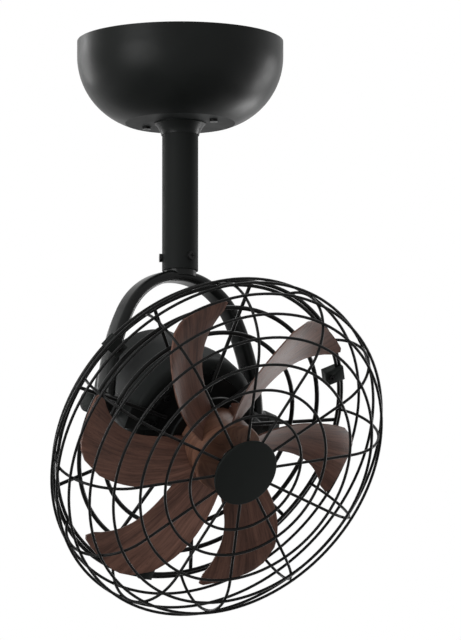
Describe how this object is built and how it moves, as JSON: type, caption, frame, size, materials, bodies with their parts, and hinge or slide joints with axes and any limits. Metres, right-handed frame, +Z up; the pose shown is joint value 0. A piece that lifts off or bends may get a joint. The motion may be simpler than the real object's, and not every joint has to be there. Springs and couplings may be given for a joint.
{
  "type": "caged ceiling fan",
  "caption": "Ceiling fan with a caged, tilting head of swept wooden blades in a fork that turns under a down rod and bowl canopy.",
  "frame": {"origin": "ceiling plane at the centre of the bracket's two slots, on the down rod's axis", "axes": "+Z up into the ceiling, +X along the bracket, -Y toward the viewer"},
  "size_m": [0.349, 0.322, 0.6133],
  "materials": {
    "black_coat": "satin black powder coat",
    "black_screw": "black oxide",
    "black_plastic": "matt black moulding",
    "walnut": "dark walnut, satin",
    "zinc_steel": "zinc plated",
    "bright_steel": "ground",
    "lamination_steel": "laminated steel",
    "copper_winding": "enamelled copper",
    "pale_plastic": "moulded"
  },
  "bodies": {
    "ceiling_mount": {"hanger_bracket": "zinc_steel", "hanger_ball": "black_plastic", "hanger_pin": "zinc_steel", "pin_clip": "zinc_steel", "down_rod": "black_coat", "rod_grommet": "black_plastic", "rod_screws": "black_screw", "canopy": "black_coat", "canopy_standoffs": "zinc_steel", "canopy_screws": "black_screw", "canopy_collar": "black_coat", "terminal_block": "pale_plastic", "run_capacitor": "black_plastic"},
    "yoke": {"fork": "black_coat"},
    "head": {"motor_rear_cover": "black_coat", "motor_front_cover": "black_coat", "motor_screws": "black_screw", "stator_core": "lamination_steel", "stator_coils": "copper_winding", "rear_bearing": "bright_steel", "front_bearing": "bright_steel", "tilt_bracket_left": "black_coat", "tilt_bracket_right": "black_coat", "bracket_screws": "black_screw", "tilt_bolts": "zinc_steel", "friction_washers": "black_plastic", "rear_grille": "black_coat", "rear_spokes": "black_coat", "rear_rings": "black_coat", "grille_screws": "black_screw", "front_grille": "black_coat", "front_rings": "black_coat", "front_rim": "black_coat", "clip_fronts": "black_plastic", "clip_backs": "black_plastic", "clip_screws": "black_screw", "centre_disc": "black_plastic", "centre_plate": "black_coat", "centre_screws": "zinc_steel"},
    "rotor": {"rotor_shaft": "bright_steel", "rotor_core": "lamination_steel", "blade_carrier": "black_coat", "hub_drum": "walnut", "blade_1": "walnut", "blade_2": "walnut", "blade_3": "walnut", "blade_4": "walnut", "blade_5": "walnut", "blade_6": "walnut", "blade_screws": "zinc_steel", "hub_washer": "zinc_steel", "hub_nut": "zinc_steel"},
    "left_knob": {"left_knob": "black_plastic"},
    "right_knob": {"right_knob": "black_plastic"}
  },
  "joints": [
    {"name": "yoke_pan", "type": "hinge", "parent": "ceiling_mount", "child": "yoke", "pos_m": [0, 0, -0.2465], "axis": [0, 0, 1], "range_deg": [-165, 165]},
    {"name": "head_tilt", "type": "hinge", "parent": "yoke", "child": "head", "pos_m": [0, 0, -0.39875], "axis": [0.807, 0.5906, 0], "range_deg": [-34.5, 55.5]},
    {"name": "blade_spin", "type": "hinge", "parent": "head", "child": "rotor", "pos_m": [0, 0, -0.39875], "axis": [0.4867, -0.665, -0.5664], "continuous": true},
    {"name": "left_knob_turn", "type": "hinge", "parent": "head", "child": "left_knob", "pos_m": [0, 0, -0.39875], "axis": [-0.807, -0.5906, 0], "range_deg": [0, 360]},
    {"name": "right_knob_turn", "type": "hinge", "parent": "head", "child": "right_knob", "pos_m": [0, 0, -0.39875], "axis": [0.807, 0.5906, 0], "range_deg": [0, 360]}
  ]
}
